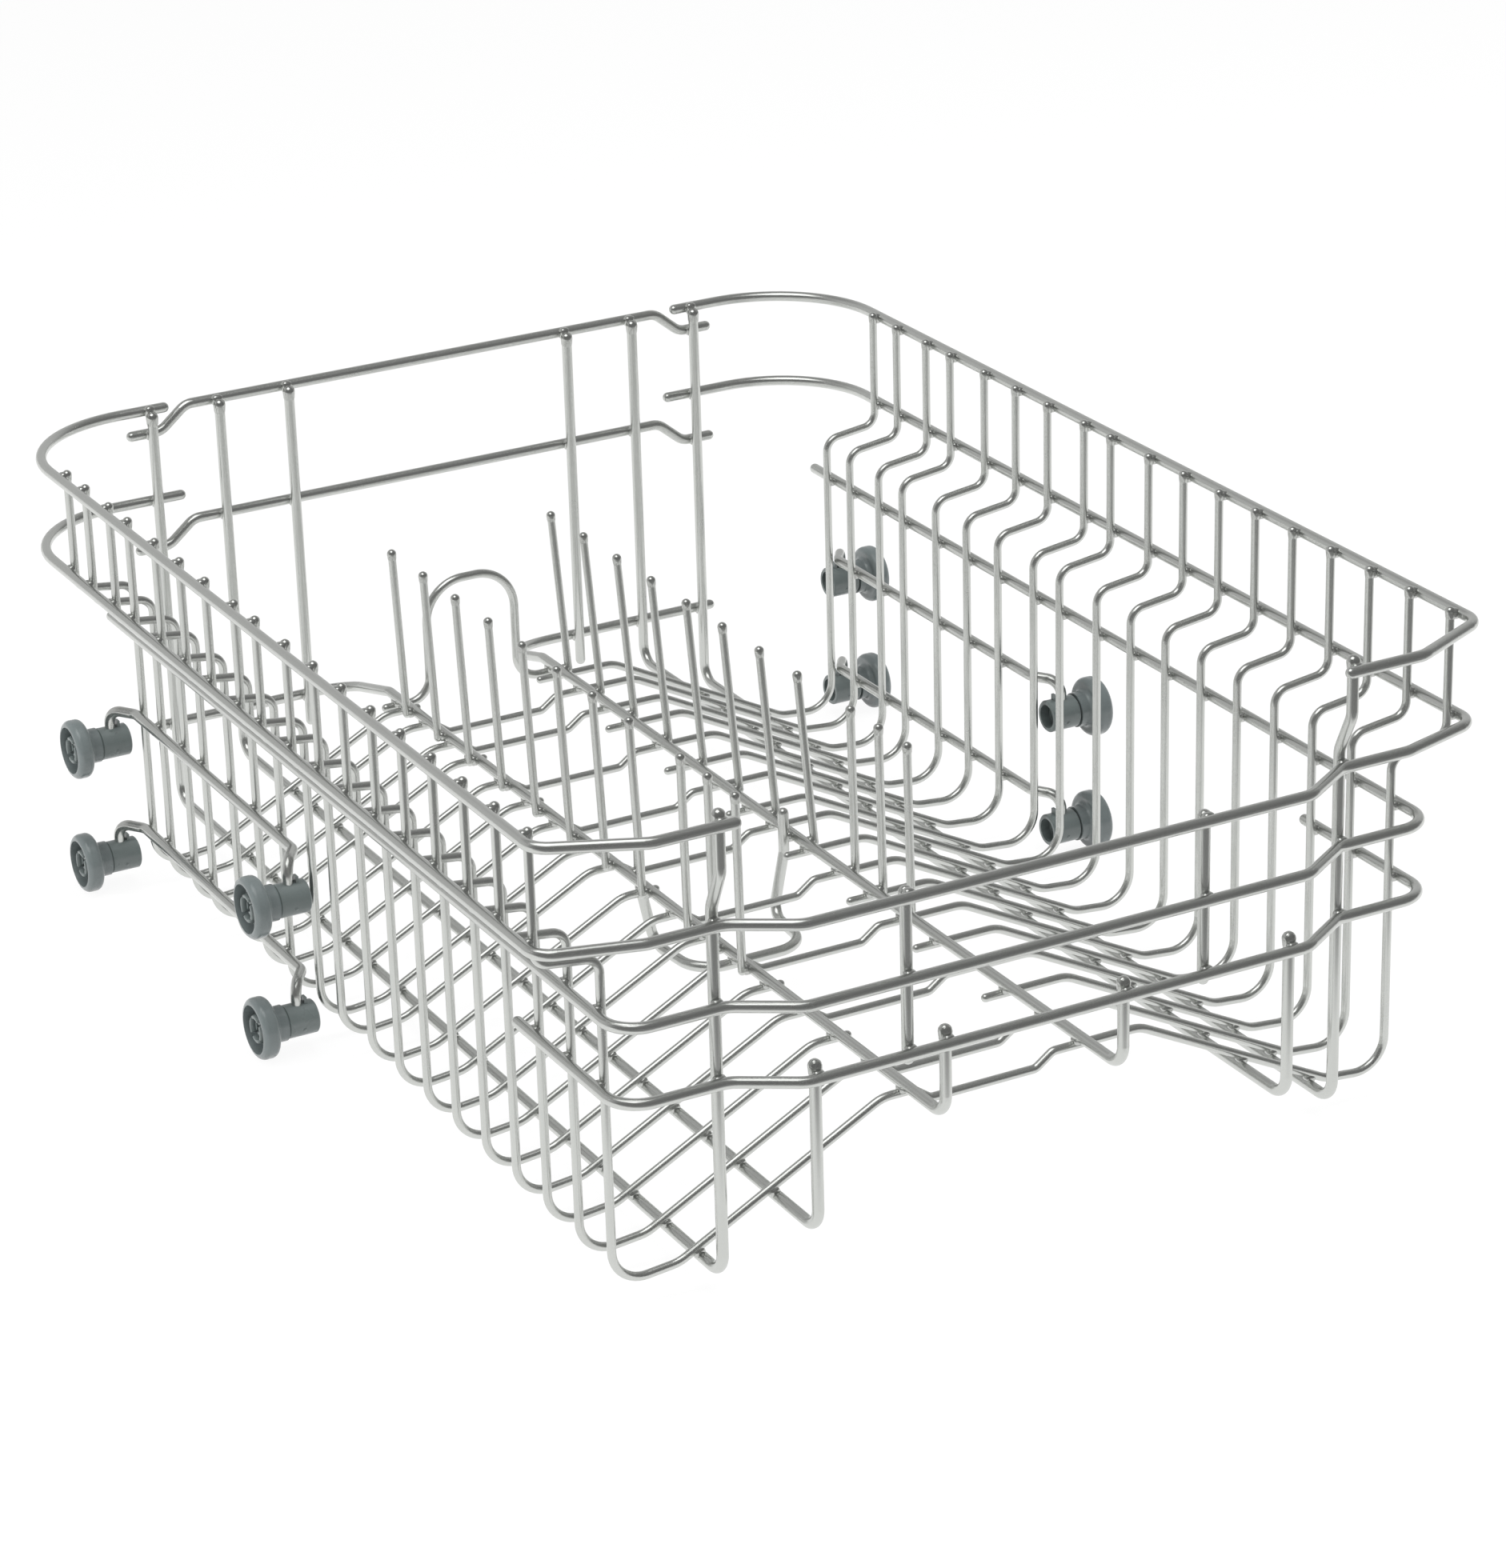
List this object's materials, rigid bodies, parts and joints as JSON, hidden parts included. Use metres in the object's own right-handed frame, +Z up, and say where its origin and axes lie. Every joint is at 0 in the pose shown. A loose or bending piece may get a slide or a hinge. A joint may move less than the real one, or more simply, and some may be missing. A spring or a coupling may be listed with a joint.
{
  "type": "dishwasher basket",
  "caption": "Coated wire upper basket of a dishwasher, with stepped sides, a raised centre, rows of tines and turning side rollers.",
  "frame": {"origin": "centre of the bounding box at its base, under the lower rollers", "axes": "+X to the right seen from the open front, +Y to the back, +Z up"},
  "size_m": [0.3734, 0.5022, 0.1842],
  "materials": {
    "coated_wire": "satin",
    "roller_plastic": "satin"
  },
  "bodies": {
    "basket": {"back_second_wire": "coated_wire", "back_top_wire": "coated_wire", "cross_wire_02": "coated_wire", "cross_wire_03": "coated_wire", "cross_wire_05": "coated_wire", "cross_wire_07": "coated_wire", "cross_wire_09": "coated_wire", "cross_wire_11": "coated_wire", "cross_wire_13": "coated_wire", "cross_wire_15": "coated_wire", "cross_wire_17": "coated_wire", "cross_wire_18": "coated_wire", "hanging_loop": "coated_wire", "left_back_post": "coated_wire", "left_centre_runner": "coated_wire", "left_front_lower_socket": "roller_plastic", "left_front_stay": "coated_wire", "left_front_upper_socket": "roller_plastic", "left_inner_runner": "coated_wire", "left_lower_roller_wire": "coated_wire", "left_outer_runner": "coated_wire", "left_rear_lower_socket": "roller_plastic", "left_rear_upper_socket": "roller_plastic", "left_short_wires": "coated_wire", "left_tine_row": "coated_wire", "left_top_rim": "coated_wire", "left_upper_roller_wire": "coated_wire", "lower_front_wire": "coated_wire", "rear_arch": "coated_wire", "right_back_post": "coated_wire", "right_centre_runner": "coated_wire", "right_front_lower_socket": "roller_plastic", "right_front_stay": "coated_wire", "right_front_upper_socket": "roller_plastic", "right_inner_runner": "coated_wire", "right_lower_roller_wire": "coated_wire", "right_outer_runner": "coated_wire", "right_rear_lower_socket": "roller_plastic", "right_rear_upper_socket": "roller_plastic", "right_short_wires": "coated_wire", "right_tine_row": "coated_wire", "right_top_rim": "coated_wire", "right_upper_roller_wire": "coated_wire", "second_rim": "coated_wire", "third_rim": "coated_wire"},
    "left_front_lower_roller": {"left_front_lower_wheel": "roller_plastic"},
    "left_front_upper_roller": {"left_front_upper_wheel": "roller_plastic"},
    "left_rear_lower_roller": {"left_rear_lower_wheel": "roller_plastic"},
    "left_rear_upper_roller": {"left_rear_upper_wheel": "roller_plastic"},
    "right_front_lower_roller": {"right_front_lower_wheel": "roller_plastic"},
    "right_front_upper_roller": {"right_front_upper_wheel": "roller_plastic"},
    "right_rear_lower_roller": {"right_rear_lower_wheel": "roller_plastic"},
    "right_rear_upper_roller": {"right_rear_upper_wheel": "roller_plastic"}
  },
  "joints": [
    {"name": "left_front_lower_roller_spin", "type": "hinge", "parent": "basket", "child": "left_front_lower_roller", "pos_m": [-0.1802, 0.02273, 0.012], "axis": [-1, 0, 0], "continuous": true},
    {"name": "left_front_upper_roller_spin", "type": "hinge", "parent": "basket", "child": "left_front_upper_roller", "pos_m": [-0.1802, 0.02273, 0.0617], "axis": [-1, 0, 0], "continuous": true},
    {"name": "left_rear_lower_roller_spin", "type": "hinge", "parent": "basket", "child": "left_rear_lower_roller", "pos_m": [-0.1802, 0.20093, 0.012], "axis": [-1, 0, 0], "continuous": true},
    {"name": "left_rear_upper_roller_spin", "type": "hinge", "parent": "basket", "child": "left_rear_upper_roller", "pos_m": [-0.1802, 0.20093, 0.0617], "axis": [-1, 0, 0], "continuous": true},
    {"name": "right_front_lower_roller_spin", "type": "hinge", "parent": "basket", "child": "right_front_lower_roller", "pos_m": [0.1802, 0.02273, 0.012], "axis": [1, 0, 0], "continuous": true},
    {"name": "right_front_upper_roller_spin", "type": "hinge", "parent": "basket", "child": "right_front_upper_roller", "pos_m": [0.1802, 0.02273, 0.0617], "axis": [1, 0, 0], "continuous": true},
    {"name": "right_rear_lower_roller_spin", "type": "hinge", "parent": "basket", "child": "right_rear_lower_roller", "pos_m": [0.1802, 0.20093, 0.012], "axis": [1, 0, 0], "continuous": true},
    {"name": "right_rear_upper_roller_spin", "type": "hinge", "parent": "basket", "child": "right_rear_upper_roller", "pos_m": [0.1802, 0.20093, 0.0617], "axis": [1, 0, 0], "continuous": true}
  ]
}
